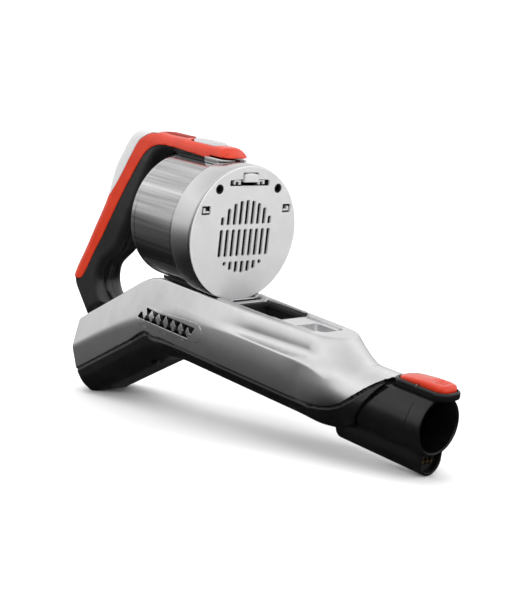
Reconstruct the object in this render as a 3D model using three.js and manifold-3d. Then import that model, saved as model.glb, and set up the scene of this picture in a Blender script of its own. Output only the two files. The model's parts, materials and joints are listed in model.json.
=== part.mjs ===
// Handheld vacuum: the hand unit of a stick vacuum, standing without its dust bin.
// Millimetres. The model is designed level with its nozzle (X forward along the nozzle, Z up,
// origin on the motor axis) and then tipped nose down on to the two places that it rests on.
import * as THREE from "three";
import { mergeVertices } from "three/addons/utils/BufferGeometryUtils.js";
import { ConvexGeometry } from "three/addons/geometries/ConvexGeometry.js";
import Module from "manifold-3d";

const wasm = await Module();
wasm.setup();
const rad = THREE.MathUtils.degToRad;

// ---- driving dimensions ----
const GAP = 0.3; // clearance left between neighbouring pieces
const WALL = 2.2; // wall of the moulded shells
const SIDES = 40; // facets of a large round piece
const REST_PITCH = rad(8.3); // the nozzle's slope when the vacuum stands on the floor

const FACE_R = 56; // motor pod
const RING_R = 56.8;
const HOUSING_R = 54;
const POD_REAR = -85.4;
const RING_REAR = -26;

const TUBE_Z = -90.5; // nozzle
const TUBE_R = 22.2;
const BORE_R = 20;
const MOUTH = 223.7;
const SLEEVE_R = 25.2;
const KEEL_R = 12;
const KEEL_Z = -116.8;
const KEEL_START = 137;
const KEEL_END = 221;

const RIDGE_Z = -51.5; // body
const CREASE_Z = -72;
const SEAM_Z = -102;
const BELLY_Z = -115.5;
const BODY_HALF = 33;
const CRADLE_R = 57.6;
const WING_PITCH = rad(32);
const BEND_S = 97; // distance from the origin to the bend, along the wing
const OPENING = { x0: 17, x1: 64, half: 19 };
const POCKET = { x0: 82, x1: 112, half: 12 };

const ARM_HALF = 15; // handle
const ARM_BEVEL = 4.5;
const TRIM = 2.5;
const CORE_WALL = 2.6;

// ---- colours ----
const finish = (color, roughness, metalness) =>
  new THREE.MeshStandardMaterial({ color, roughness, metalness });
const SILVER = finish(0xb9bbbd, 0.35, 0.6);
const PALE = finish(0xcfd0d2, 0.45, 0.1);
const GREY = finish(0x8d8f91, 0.3, 0.5);
const BLACK = finish(0x141415, 0.25, 0);
const RED = finish(0xd8260c, 0.3, 0);
const DARK_RED = finish(0x8c1a0c, 0.5, 0);
const RUBBER = finish(0x1b1b1c, 0.85, 0);
const STEEL = finish(0xa8abae, 0.35, 1);
const BRASS = finish(0xc29a45, 0.35, 1);
const FOAM = finish(0x2c2d2f, 0.95, 0);
const CELL_WRAP = finish(0x2f6f8f, 0.5, 0);
const BOARD = finish(0x1f5a37, 0.6, 0);

// ---- solids ----
function solid(geometry) {
  const bare = new THREE.BufferGeometry();
  const source = geometry.index ? geometry.toNonIndexed() : geometry;
  bare.setAttribute("position", source.getAttribute("position"));
  const merged = mergeVertices(bare, 1e-4);
  const triVerts = new Uint32Array(merged.index.array);
  const vertProperties = merged.attributes.position.array;
  const make = () => new wasm.Manifold(new wasm.Mesh({ numProp: 3, vertProperties, triVerts }));
  const made = make();
  if (made.volume() > 0) return made;
  for (let i = 0; i < triVerts.length; i += 3) {
    [triVerts[i + 1], triVerts[i + 2]] = [triVerts[i + 2], triVerts[i + 1]];
  }
  return make();
}

const join = (first, ...rest) => rest.reduce((a, b) => a.add(b), first);
const cut = (first, ...rest) => rest.reduce((a, b) => a.subtract(b), first);

// An outline drawn in the plane across an axis, run from one place on that axis to another.
function prism(outline, axis, from, to, bevel = 0) {
  const shape = new THREE.Shape(outline.map(([a, b]) => new THREE.Vector2(a, b)));
  const geometry = new THREE.ExtrudeGeometry(shape, {
    depth: to - from - 2 * bevel,
    bevelEnabled: bevel > 0,
    bevelSize: bevel,
    bevelThickness: bevel,
    bevelOffset: -bevel,
    bevelSegments: 2,
  });
  const [x, y, z] = [[1, 0, 0], [0, 1, 0], [0, 0, 1]].map((v) => new THREE.Vector3(...v));
  const bases = { x: [y, z, x], y: [x, z, y.clone().negate()], z: [x, y, z] };
  geometry.translate(0, 0, (axis === "y" ? -to : from) + bevel);
  geometry.applyMatrix4(new THREE.Matrix4().makeBasis(...bases[axis]));
  return solid(geometry);
}

function rod(radius, from, to, axis = "x", at = [0, 0], sides = SIDES) {
  const geometry = new THREE.CylinderGeometry(radius, radius, to - from, sides);
  geometry.translate(0, (from + to) / 2, 0);
  if (axis === "x") geometry.rotateZ(-Math.PI / 2).translate(0, at[0], at[1]);
  if (axis === "y") geometry.translate(at[0], 0, at[1]);
  if (axis === "z") geometry.rotateX(Math.PI / 2).translate(at[0], at[1], 0);
  return solid(geometry);
}

// A profile of [x, radius] points turned about the X axis.
function turned(profile, sides = SIDES) {
  const points = profile.map(([x, r]) => new THREE.Vector2(r, x));
  return solid(new THREE.LatheGeometry(points, sides).rotateZ(-Math.PI / 2));
}

function box(x0, x1, y0, y1, z0, z1) {
  const geometry = new THREE.BoxGeometry(x1 - x0, y1 - y0, z1 - z0);
  return solid(geometry.translate((x0 + x1) / 2, (y0 + y1) / 2, (z0 + z1) / 2));
}

const hull = (points) => solid(new ConvexGeometry(points.map((p) => new THREE.Vector3(...p))));
const bothSides = (points) => points.flatMap(([x, y, z]) => [[x, y, z], [x, -y, z]]);

// The same outline drawn a distance further in, all round (anticlockwise outlines). Corners too
// small for the distance are left out, so that the outline never crosses itself.
function inset(outline, distance) {
  const normal = ([ax, ay], [bx, by]) => {
    const length = Math.hypot(bx - ax, by - ay);
    return [-(by - ay) / length, (bx - ax) / length];
  };
  const moved = outline.map((point, i) => {
    const before = outline[(i + outline.length - 1) % outline.length];
    const after = outline[(i + 1) % outline.length];
    const [n1, n2] = [normal(before, point), normal(point, after)];
    const scale = distance / (1 + n1[0] * n2[0] + n1[1] * n2[1]);
    return [point[0] + (n1[0] + n2[0]) * scale, point[1] + (n1[1] + n2[1]) * scale];
  });
  const turnedRound = moved.findIndex((point, i) => {
    const next = (i + 1) % moved.length;
    const along = [outline[next][0] - outline[i][0], outline[next][1] - outline[i][1]];
    return along[0] * (moved[next][0] - point[0]) + along[1] * (moved[next][1] - point[1]) < 0.05;
  });
  if (turnedRound < 0) return moved;
  return inset(outline.filter((_, i) => i !== turnedRound), distance);
}

function roundedRect(x0, x1, y0, y1, r, steps = 3) {
  const corners = [
    [x1 - r, y0 + r, -90], [x1 - r, y1 - r, 0], [x0 + r, y1 - r, 90], [x0 + r, y0 + r, 180],
  ];
  return corners.flatMap(([x, y, start]) =>
    Array.from({ length: steps + 1 }, (_, i) => {
      const a = rad(start + (90 * i) / steps);
      return [x + r * Math.cos(a), y + r * Math.sin(a)];
    }),
  );
}

// ---- the group that everything hangs in ----
const group = new THREE.Group();
group.name = "handheld_vacuum";
const level = new THREE.Group(); // level with the nozzle
const wingFrame = new THREE.Group(); // level with the wing: -x is down the wing, -z away from its top
wingFrame.rotation.y = -WING_PITCH;
level.rotation.y = REST_PITCH;
level.add(wingFrame);
group.add(level);

function piece(name, body, material, parent = level) {
  const found = body.getMesh();
  const geometry = new THREE.BufferGeometry();
  geometry.setAttribute("position", new THREE.BufferAttribute(found.vertProperties, 3));
  geometry.setIndex(new THREE.BufferAttribute(found.triVerts, 1));
  geometry.computeVertexNormals();
  const mesh = new THREE.Mesh(geometry, material);
  mesh.name = name;
  parent.add(mesh);
}

// A point of the wing: s along it from the origin, depth away from its top, y across.
function onWing(s, y, depth) {
  const [c, k] = [Math.cos(WING_PITCH), Math.sin(WING_PITCH)];
  return [-s * c + depth * k, y, -s * k - depth * c];
}

// ---- body: outer and inner form ----
function bodyForm(t) {
  const bend = (z) => onWing(BEND_S, 0, -1)[0] + 0.44 * (RIDGE_Z - z);
  const ring = [
    [bend(RIDGE_Z), 25.5 - t, RIDGE_Z - t],
    [bend(CREASE_Z), BODY_HALF - t, CREASE_Z],
    [bend(-106), 32 - t, -106],
    [bend(BELLY_Z), 24 - t, BELLY_Z + t],
  ];
  const nose = [
    [111 - t, 19.2 - t, RIDGE_Z - t], [125 - t, 13 - t / 2, RIDGE_Z - t], [131 - t, 0, RIDGE_Z - t],
    [124, BODY_HALF - t, CREASE_Z], [136 - t, 25 - t, CREASE_Z], [146 - t, 8, -66 - t],
    [126, BODY_HALF - t, SEAM_Z], [140 - t, 26 - t, SEAM_Z], [128, 24 - t, BELLY_Z + t],
  ];
  const tail = [
    [223 - t, 23 - t, -1 + t], [234 - t, 14, -1 + t], [238 - t, 0, -1 + t],
    [240 - t, 33 - t, 24], [249 - t, 20, 24], [254 - t, 0, 24],
    [244 - t, 33 - t, 44], [252 - t, 20, 44], [257 - t, 0, 44],
    [240 - t, 31 - t, 60 - t / 2], [246 - t, 20 - t / 2, 70 - t], [250 - t, 0, 70 - t],
  ].map(([s, y, depth]) => onWing(s, y, depth));
  return join(hull(bothSides([...ring, ...nose])), hull(bothSides([...ring, ...tail])));
}

// The line, seen from the side, along which the upper and lower mouldings meet, from front to rear.
function seamLine(shift) {
  const bend = onWing(122, 0, 44);
  const path = new THREE.Path();
  path.moveTo(192, -55);
  path.quadraticCurveTo(180, -71, 160, -83);
  path.quadraticCurveTo(140, SEAM_Z, 122, SEAM_Z);
  path.lineTo(bend[0] + 18, SEAM_Z);
  path.quadraticCurveTo(bend[0], SEAM_Z, onWing(140, 0, 44)[0], onWing(140, 0, 44)[2]);
  path.lineTo(onWing(290, 0, 44)[0], onWing(290, 0, 44)[2]);
  return path.getPoints(5).map((p) => [p.x, p.y + shift]);
}

const FAR = 75;
const REGIONS = {
  upper: prism([...seamLine(GAP / 2), [-260, 0], [192, 0]], "y", -FAR, FAR),
  lower: prism([...seamLine(-GAP / 2), [-260, -230], [192, -230]], "y", -FAR, FAR),
};
// Everything under the floor that the keel's end and the wing's rear edge stand on, or under a
// plane a little above it.
function underFloor(height) {
  const z = (x) => KEEL_Z - KEEL_R - (KEEL_END - x) * Math.tan(REST_PITCH) + height;
  return prism([[-300, z(-300)], [-300, -300], [230, -300], [230, z(230)]], "y", -FAR, FAR);
}
const FLOOR_CUT = underFloor(0);
const SLEEVE = rod(SLEEVE_R, 124, 188, "x", [0, TUBE_Z]);
const TUBE_SPACE = rod(TUBE_R + GAP, 117, 250, "x", [0, TUBE_Z]);
const OUTER = cut(join(bodyForm(0), SLEEVE), FLOOR_CUT);
const SHELL = cut(OUTER, cut(bodyForm(WALL), underFloor(WALL)), TUBE_SPACE);

// One hourglass of the side vent, and the half ones that end its row.
function ventHoles() {
  const [top, waist, foot] = [-82, -86.2, -90.4];
  const [wide, narrow, pitch] = [3.4, 1.2, 10.4];
  const holes = Array.from({ length: 6 }, (_, k) => {
    const x = -77.8 + pitch * k;
    return [
      [x - wide, top], [x + wide, top], [x + narrow, waist],
      [x + wide, foot], [x - wide, foot], [x - narrow, waist],
    ];
  });
  holes.push([[-91, foot], [-84.4, foot], [-86.6, waist]]);
  holes.push([[-21.4, top], [-14.6, top], [-18, waist]]);
  return holes.map((outline) => prism(outline, "y", -FAR, FAR));
}

function upperShell() {
  const deckSlot = (from, to) => {
    const outline = roundedRect(-to, -from, -20.5, 20.5, 2, 1);
    const slot = prism(outline, "z", -6.4, 12);
    return slot.rotate([0, THREE.MathUtils.radToDeg(-WING_PITCH), 0]);
  };
  const opening = prism(roundedRect(OPENING.x0, OPENING.x1, -OPENING.half, OPENING.half, 4), "z", -62, -40);
  const pocket = prism(roundedRect(POCKET.x0, POCKET.x1, -POCKET.half, POCKET.half, 5), "z", -62, -40);
  return cut(
    SHELL.intersect(REGIONS.upper),
    rod(CRADLE_R, -200, 1, "x", [0, 0], 64),
    box(0.9, 108, -17.6, 17.6, -54, -40),
    opening, pocket, deckSlot(90, 226), ...ventHoles(),
  );
}

// The keel under the nozzle, drawn across it: round below and open to the tube above.
function keelOutline(r) {
  const low = Array.from({ length: 13 }, (_, i) => {
    const a = Math.PI + (Math.PI * i) / 12;
    return [r * Math.cos(a), KEEL_Z + r * Math.sin(a)];
  });
  return [...low, [r, -104], [-r, -104]];
}

// Where the lower shell stops round the nozzle, seen from the side.
const LOWER_FRONT = prism(
  [[183.5, -60], [250, -60], [250, -140], [156, -140], [160, -114]], "y", -FAR, FAR,
);
// Everything behind the joint between the lower shell and the battery cover.
const behindBend = (shift) => prism([
  [-48 + shift, -140], [-85 + shift, -95], [-260, -95], [-260, -230], [-48 + shift, -230],
], "y", -FAR, FAR);

const COVER_SCREWS = [[137, 16], [137, -16], [229, 12], [229, -12]]; // s along the wing, y
// Depths are measured away from the wing's top; each screw's head sits on the ledge of its well.
const COVER_BOSS = { wellR: 5, bossR: 7, holeR: 2, ledge: 58.3, top: 56, foot: 67.9 };
const COVER_HEAD_DEPTH = 60.6;

function lowerShell() {
  const keelWay = prism(keelOutline(KEEL_R + GAP), "x", KEEL_START - GAP, 240);
  return cut(
    SHELL.intersect(REGIONS.lower),
    behindBend(GAP), LOWER_FRONT, keelWay,
  );
}

// Works in the wing's own frame, then turns it into the level frame.
const intoLevel = (body) => body.rotate([0, -THREE.MathUtils.radToDeg(WING_PITCH), 0]);

function batteryCover() {
  const { wellR, bossR, holeR, ledge, top, foot } = COVER_BOSS;
  const posts = (r, from, to, sides) =>
    COVER_SCREWS.map(([s, y]) => intoLevel(rod(r, from, to, "z", [-s, y], sides)));
  const wells = posts(wellR, -80, -ledge, 12);
  const bosses = posts(bossR, -foot, -top, 12);
  const holes = posts(holeR, -ledge - 1, -top + 1, 8);
  const cover = SHELL.intersect(REGIONS.lower).intersect(behindBend(0));
  const inside = bodyForm(0.5).intersect(behindBend(0));
  return cut(join(cover, ...bosses.map((b) => b.intersect(inside))), ...wells, ...holes, FLOOR_CUT);
}

function screw(headRadius, shankRadius, length) {
  const head = rod(headRadius, -2, 0, "x", [0, 0], 12);
  return cut(join(head, rod(shankRadius, -length, -1, "x", [0, 0], 8)), box(-0.8, 1, -0.5, 0.5, -3, 3));
}

function rearDeck() {
  const plate = prism(roundedRect(-225.6, -91, -20.2, 20.2, 2, 1), "z", -6, -3);
  const keep = join(bodyForm(WALL + 0.4), intoLevel(box(-225.7, -91, -20.2, 20.2, -6.3, -2.9)));
  return cut(intoLevel(plate).intersect(keep), rod(CRADLE_R + GAP, -95, 10, "x", [0, 0], 64));
}

// ---- nozzle and air way ----
const BUTTON_PIVOT = { x: 208, z: -63.8 };
const PIN_R = 1;

function nozzleTube() {
  const collar = roundedRect(184, 233, -12.5, 12.5, 5);
  const housing = join(
    prism(collar, "z", -76, -62.2).intersect(box(150, MOUTH, -20, 20, -80, -60)),
    prism(collar, "z", -69.6, -62.2),
  );
  const keel = prism(keelOutline(KEEL_R), "x", KEEL_START, KEEL_END);
  const socket = prism(keelOutline(KEEL_R - WALL), "x", KEEL_END - 14, KEEL_END + 1)
    .intersect(box(200, 230, -20, 20, -140, -113.2));
  return cut(
    join(rod(TUBE_R, 119, MOUTH, "x", [0, TUBE_Z], 48), keel, housing),
    rod(BORE_R, 110, 240, "x", [0, TUBE_Z], 48),
    prism(roundedRect(186.2, 231, -10, 10, 3), "z", -67.6, -60),
    rod(PIN_R + GAP, -20, 20, "y", [BUTTON_PIVOT.x, BUTTON_PIVOT.z], 10),
    box(188.2, 194.8, -4, 4, -75, -66),
    socket,
  );
}

function wandButton() {
  const side = [[187.5, -65.4], [228, -64.6], [230.2, -62.8], [229.5, -60.2], [226, -58.8], [214, -60],
    [203, -60.9], [192, -61.8], [187.8, -63]];
  const hook = prism([[189, -72.2], [190.5, -72.9], [194, -70], [194, -65], [189, -65]], "y", -3, 3);
  return cut(
    join(prism([...side].reverse(), "y", -9.2, 9.2, 0.8), hook),
    rod(PIN_R + GAP, -20, 20, "y", [BUTTON_PIVOT.x, BUTTON_PIVOT.z], 10),
  );
}

function contactBlock() {
  const body = prism(keelOutline(KEEL_R - WALL - GAP), "x", KEEL_END - 13.5, KEEL_END - 5)
    .intersect(box(200, 230, -20, 20, -140, -113.8));
  const slots = [-4.5, 0, 4.5].map((y) => box(KEEL_END - 11, KEEL_END, y - 1.6, y + 1.6, -122, -116.5));
  return cut(body, ...slots);
}

function airDuct() {
  const { x0, x1, half } = OPENING;
  const outside = join(
    rod(BORE_R + 1.5, 40, 118.6, "x", [0, TUBE_Z], 32),
    box(x0 - 2, x1 + 2, -half - 1.4, half + 1.4, -111.8, -57),
  );
  const bore = rod(BORE_R - 0.8, 40, 130, "x", [0, TUBE_Z], 32);
  return cut(outside, bore, box(x0, x1, -half, half, -109.5, -40));
}

function inletSeal() {
  const { x0, x1, half } = OPENING;
  const ring = (grow, from, to) =>
    prism(roundedRect(x0 - grow, x1 + grow, -half - grow, half + grow, 4 + grow), "z", from, to);
  return cut(ring(-GAP, -56.2, -54.6), ring(-1.6, -60, -50));
}

function hookPocket() {
  const { x0, x1, half } = POCKET;
  const cup = prism(roundedRect(x0 + GAP, x1 - GAP, -half + GAP, half - GAP, 4.7), "z", -66, -54.4);
  const scoop = hull(bothSides([
    [x0 + 2, half - 2.2, -54], [x1 - 2, half - 2.2, -54], [x0 + 2, half - 3, -64], [x1 - 12, half - 3, -64],
  ]));
  return cut(cup, scoop, box(x0, x1, -half + 2.2, half - 2.2, -54.2, -50));
}

// ---- motor pod ----
const FACE_SCREWS = [[-31.3, 37.4], [31.3, 37.4]];

function motorHousing() {
  return turned([
    [POD_REAR, 50.6], [POD_REAR, 52.5], [POD_REAR + 2, HOUSING_R], [RING_REAR - GAP, HOUSING_R],
    [RING_REAR - GAP, 51.5], [POD_REAR + 3, 51.5], [POD_REAR + 3, 50.6], [POD_REAR, 50.6],
  ], 48);
}

function frontRing() {
  const ring = turned([
    [RING_REAR, 53], [RING_REAR, RING_R], [-2.3, FACE_R], [-2.3, 53.2], [RING_REAR, 53],
  ], 48);
  return cut(ring, ...FACE_SCREWS.map((at) => rod(5.9, -14, -2, "x", at, 12)));
}

function podRearCap() {
  return turned([
    [-92, 0], [-92, 34], [-90, 44], [-86, 50], [-82.8, 50.2], [-82.8, 47.8], [-85, 47.6], [-88, 42],
    [-89.8, 33], [-89.8, 0],
  ], 40);
}

const SLOT_PITCH = 6.3;

function grilleSlots() {
  const rows = [[-31, -22.3], [-18.2, 4.3], [8, 30.5]];
  const slots = [];
  for (const [low, high] of rows) {
    for (let k = -4; k <= 4; k++) {
      const y = k * SLOT_PITCH;
      const reach = Math.sqrt(29.5 ** 2 - y ** 2);
      const [z0, z1] = [Math.max(low, -2 - reach), Math.min(high, -2 + reach)];
      if (z1 - z0 > 3) slots.push(box(-3, 1, y - 1.45, y + 1.45, z0, z1));
    }
  }
  return slots;
}

function facePlate() {
  const plate = rod(FACE_R, -2, 0, "x", [0, 0], 48);
  const rim = cut(rod(52.7, -6, -1.8, "x", [0, 0], 48), rod(50.9, -7, -2, "x", [0, 0], 48));
  const bosses = FACE_SCREWS.map((at) => rod(5.6, -13, -1, "x", at, 12));
  const wells = FACE_SCREWS.flatMap((at) => [rod(4, -11, 1, "x", at, 12), rod(1.7, -14, 0, "x", at, 8)]);
  const notches = [-1, 1].map((side) => box(-8, 1, side * 43.3 - 4.5, side * 43.3 + 4.5, 17, 24));
  return cut(join(plate, rim, ...bosses), ...wells, ...notches, box(-8, 1, -21, 21, 39.8, 47.6),
    box(-8, 1, -8, 8, 40, 50.5), ...grilleSlots());
}

function latchTongue() {
  const outline = [
    [-7.2, 43], [7.2, 43], [7.2, 48.2], [4, 49.8], [0, 50.2], [-4, 49.8], [-7.2, 48.2],
  ];
  return prism(outline, "x", -5, 2.2);
}

function annulus(outer, inner, from, to, sides = SIDES) {
  return cut(rod(outer, from, to, "x", [0, 0], sides), rod(inner, from - 1, to + 1, "x", [0, 0], sides));
}

function fanShroud() {
  const posts = FACE_SCREWS.map((at) => rod(2.4, -30, -14, "x", at, 10));
  const holes = FACE_SCREWS.map((at) => rod(1.7, -28, -10, "x", at, 8));
  return cut(join(annulus(51.1, 17, -31, -28.6, 48), ...posts), ...holes);
}

function impeller() {
  const blades = Array.from({ length: 7 }, (_, k) =>
    box(-38.6, -33, 10, 38, -0.8, 0.8).rotate([(360 / 7) * k, 0, 0]));
  return cut(join(rod(39, -40, -38, "x", [0, 0], 32), rod(11, -39, -32.5, "x", [0, 0], 20), ...blades),
    rod(2.9, -60, 0, "x", [0, 0], 12));
}

const motorShaft = () => join(rod(2.5, -74, -32, "x", [0, 0], 12), rod(9, -66, -54, "x", [0, 0], 16));

function motorCan() {
  return cut(rod(24, -79.5, -44, "x", [0, 0], 32), rod(21, -77, -46, "x", [0, 0], 32),
    rod(3.2, -60, -40, "x", [0, 0], 16));
}

function motorBracket() {
  const windows = Array.from({ length: 6 }, (_, k) =>
    rod(8, -70, -50, "x", [0, 37.5], 8).rotate([60 * k, 0, 0]));
  return cut(annulus(51.2, 24.3, -62, -59), ...windows);
}

function podSaddle() {
  const between = cut(
    rod(CRADLE_R - GAP, -78, -30, "x", [0, 0], 64), rod(HOUSING_R + GAP, -90, 0, "x", [0, 0], 48),
  );
  return between.intersect(box(-78, -30, -19, 19, -60, -40));
}

// ---- handle: outlines seen from the side, anticlockwise ----
const HANDLE_BACK = [
  [-18, 60], [-19.5, 63.5], [-24, 66], [-30, 66.8], [-100, 67.2], [-137, 67.6], [-148, 65], [-156, 57],
  [-172, 31], [-177, 16], [-185, -8], [-199, -31.5], [-212.5, -57], [-224, -76], [-227, -87], [-224.5, -95],
  [-216, -104], [-198, -123.5],
];
const HANDLE_FRONT = [
  [-157, -98], [-170, -95.5], [-177, -88], [-180, -78], [-177, -68], [-168, -59], [-158, -49], [-150, -40],
  [-130, 0], [-113, 36], [-106, 45.5], [-97, 49.5], [-88, 50.2], [-86, 46], [-18, 46],
];
const HANDLE = [...HANDLE_BACK, ...HANDLE_FRONT];
// The room that the handle leaves for the motor pod and for the wing's deck.
const POD_SPACE = join(
  rod(HOUSING_R + GAP, -95, 0, "x", [0, 0], 48),
  rod(RING_R + GAP, RING_REAR - GAP, 0, "x", [0, 0], 48),
);
const DECK_SPACE = intoLevel(
  join(box(-300, -60, -FAR, FAR, -40, -2.6), box(-300, -225.4, -FAR, FAR, -40, 1.4)),
);

// The handle's form, a depth under its surface.
function handleForm(t) {
  const outline = t > 0 ? inset(HANDLE, t) : HANDLE;
  const bevel = Math.max(ARM_BEVEL - t * 0.75, 0.5);
  return cut(prism(outline, "y", -ARM_HALF + t, ARM_HALF - t, bevel), POD_SPACE, DECK_SPACE);
}

const slab = (outline) => prism(outline, "y", -FAR, FAR);
// The red trim's lower edge, from the front of the grip round the corner and down the leg.
const TRIM_EDGE = [
  [-44.6, 56.4], [-60, 57], [-88, 58], [-104, 57.5], [-115, 54.5], [-124, 49], [-131, 41],
  [-146, 19], [-158.5, -1], [-178, -33], [-191.5, -55], [-203, -76], [-209, -85.5], [-240, -88],
];
// The front edge of the pale cover over the handle's back corner.
const SPINE_EDGE = [
  [-112, 90], [-113.5, 68], [-122, 65.5], [-130, 61], [-138, 54.5], [-149.5, 36.5], [-160, 20],
  [-172, 4], [-192, -10],
];
const shifted = (line, dx, dz) => line.map(([x, z]) => [x + dx, z + dz]);
const SPINE_REGION = slab([...SPINE_EDGE, [-260, -10], [-260, 90]]);
const SPINE_REGION_WIDE = slab([...shifted(SPINE_EDGE, 0.3, -0.15), [-260, -10], [-260, 90]]);
const TRIM_REGION = slab([...TRIM_EDGE, [-260, -88], [-260, 90], [-36.4, 90]]);
const TIP_REGION = slab([[-43.6, 58.9], [-10, 58.9], [-10, 90], [-35.6, 90]]);
const TIP_TRIM_REGION = slab([[-44, 40], [-10, 40], [-10, 57.6], [-44, 57.6]]);
const CORE_REGION = slab([...shifted(TRIM_EDGE, 0, -GAP), [-260, -200], [-44, -200]]);
const BUTTON_WELL = { x0: -73, x1: -36.5, half: 8.6 };
const RIB_WELL = { x0: -111, x1: -79, half: 6.3 };

function handleTrim() {
  const { x0, x1, half } = BUTTON_WELL;
  return cut(
    handleForm(0).intersect(TRIM_REGION), handleForm(TRIM), SPINE_REGION_WIDE,
    prism(roundedRect(x0, x1, -half, half, 4), "z", 60, 80),
    box(RIB_WELL.x0, RIB_WELL.x1, -RIB_WELL.half, RIB_WELL.half, 60, 80),
  );
}

const spineCover = () => cut(handleForm(0).intersect(SPINE_REGION), handleForm(TRIM));

function thumbGrip() {
  const { x0, x1, half } = RIB_WELL;
  const base = box(x0 + GAP, x1 - GAP, -half + GAP, half - GAP, 64.9, 66.6);
  const pitch = 3.8;
  const ribs = Array.from({ length: 8 }, (_, i) => {
    const x = x0 + 1.3 + pitch * i;
    return box(x, x + 1.7, -5.4, 5.4, 66, 67.6);
  });
  return join(base, ...ribs);
}

function powerButton() {
  const { x0, x1, half } = BUTTON_WELL;
  const top = prism(roundedRect(x0 + 0.4, x1 - 0.4, -half + 0.4, half - 0.4, 3.7), "z", 63.4, 68.4);
  const crown = [[-73, 60], [-36, 60], [-36, 67.4], [-44, 68.4], [-66, 68.4], [-73, 66.8]];
  return top.intersect(prism(crown, "y", -9, 9));
}

function releaseTip() {
  return cut(handleForm(0).intersect(TIP_REGION), box(-34, -21, -11.5, 11.5, 50, 63.5),
    box(-60, -36.2, -9, 9, 50, 90));
}

function tipTrim() {
  const base = handleForm(0).intersect(TIP_TRIM_REGION);
  return base.intersect(box(-43.6, -10, -20, 20, 40, 60));
}

function handleCore() {
  const under = cut(handleForm(TRIM + GAP), slab([[-44, 0], [0, 0], [0, 90], [-36, 90], [-44, 58.6]]));
  const side = handleForm(0).intersect(CORE_REGION).intersect(box(-300, -44.3, -FAR, FAR, -200, 80));
  const hollow = cut(
    handleForm(TRIM + CORE_WALL + GAP), rod(HOUSING_R + CORE_WALL, -120, 0, "x", [0, 0], 48),
    box(-300, -100, -FAR, FAR, -200, -96),
  );
  const well = ({ x0, x1, half }, floor) => box(x0, x1, -half, half, floor, 80);
  return cut(join(under, side), hollow, well(BUTTON_WELL, 57.8), well(RIB_WELL, 64.6));
}

// One half of a body split along the middle plane: side is 1 for the left half, -1 for the right.
const half = (body, side) => body.intersect(side > 0 ? box(-300, 50, GAP / 2, 40, -200, 100)
  : box(-300, 50, -40, -GAP / 2, -200, 100));

// ---- assembly ----
piece("upper_shell", upperShell(), SILVER);
piece("lower_shell", lowerShell(), BLACK);
piece("battery_cover", batteryCover(), BLACK);
piece("rear_deck", rearDeck(), BLACK);
piece("nozzle_tube", nozzleTube(), BLACK);
piece("wand_release_button", wandButton(), RED);
piece("wand_release_pin", rod(PIN_R, -12.4, 12.4, "y", [BUTTON_PIVOT.x, BUTTON_PIVOT.z], 10), STEEL);
piece("contact_block", contactBlock(), BLACK);
[-4.5, 0, 4.5].forEach((y, i) =>
  piece("contact_pin_" + (i + 1), box(KEEL_END - 10.5, KEEL_END - 3, y - 1.2, y + 1.2, -119.5, -118), BRASS));
piece("air_duct", airDuct(), BLACK);
piece("inlet_seal", inletSeal(), RUBBER);
piece("hook_pocket", hookPocket(), SILVER);

piece("motor_housing", motorHousing(), GREY);
piece("front_ring", frontRing(), PALE);
piece("face_plate", facePlate(), PALE);
piece("pod_rear_cap", podRearCap(), GREY);
piece("bin_latch_tongue", latchTongue(), PALE);
piece("filter_frame", annulus(40, 36.3, -15, -4), BLACK);
piece("filter_pad", rod(36, -13.5, -5, "x", [0, 0], 32), FOAM);
piece("fan_shroud", fanShroud(), BLACK);
piece("impeller", impeller(), BLACK);
piece("motor_shaft", motorShaft(), STEEL);
piece("motor_can", motorCan(), STEEL);
piece("motor_bracket", motorBracket(), RUBBER);
piece("pod_saddle", podSaddle(), BLACK);

const core = handleCore();
piece("handle_core_left", half(core, 1), BLACK);
piece("handle_core_right", half(core, -1), BLACK);
piece("handle_trim", handleTrim(), RED);
piece("spine_cover", spineCover(), PALE);
piece("thumb_grip", thumbGrip(), DARK_RED);
piece("power_button", powerButton(), SILVER);
piece("bin_release_button", releaseTip(), RED);
piece("release_trim", tipTrim(), SILVER);
piece("power_switch", box(-60, -48, -3, 3, 58.2, 61.4), BLACK);

const CELL_R = 9.1;
const CELLS = [[30, -19], [30, 0], [30, 19], [49, -19], [49, 0], [49, 19]]; // depth, y
CELLS.forEach(([depth, y], i) =>
  piece("battery_cell_" + (i + 1), rod(CELL_R, -216, -151, "x", [y, -depth], 20), CELL_WRAP, wingFrame));
const holder = (from, to) => box(from, to, -27, 27, -57.5, -21.5);
piece("cell_holder_front", holder(-150.5, -148), BLACK, wingFrame);
piece("cell_holder_rear", holder(-219.2, -216.5), BLACK, wingFrame);
piece("battery_board", box(-146, -108, -24, 24, -36, -34.4), BOARD, wingFrame);
piece("motor_board", box(-58, 8, -24, 24, -100, -98.4), BOARD);
COVER_SCREWS.forEach(([s, y], i) => {
  const body = screw(3.6, 1.6, 11).rotate([0, 90, 0]).translate([-s, y, -COVER_HEAD_DEPTH]);
  piece("cover_screw_" + (i + 1), body, STEEL, wingFrame);
});
FACE_SCREWS.forEach(([y, z], i) =>
  piece("face_screw_" + (i + 1), screw(3.5, 1.3, 14).translate([-8.6, y, z]), STEEL));

// ---- stand the vacuum on its keel and its rear edge, centred on the origin ----
group.updateMatrixWorld(true);
const extent = new THREE.Box3().setFromObject(group, true);
const middle = extent.getCenter(new THREE.Vector3());
level.position.set(-middle.x, -middle.y, -extent.min.z);

export default group;
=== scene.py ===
# Looks of the handheld vacuum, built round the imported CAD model.
# Forms are worked out in millimetres in the model's level frame: X forward along the motor pod's
# axis, Z up, origin at the centre of the pod's face. The frame then tips them into the row's frame.
import json
import math

import bmesh
import bpy
import numpy as np
from mathutils import Matrix, Vector


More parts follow.
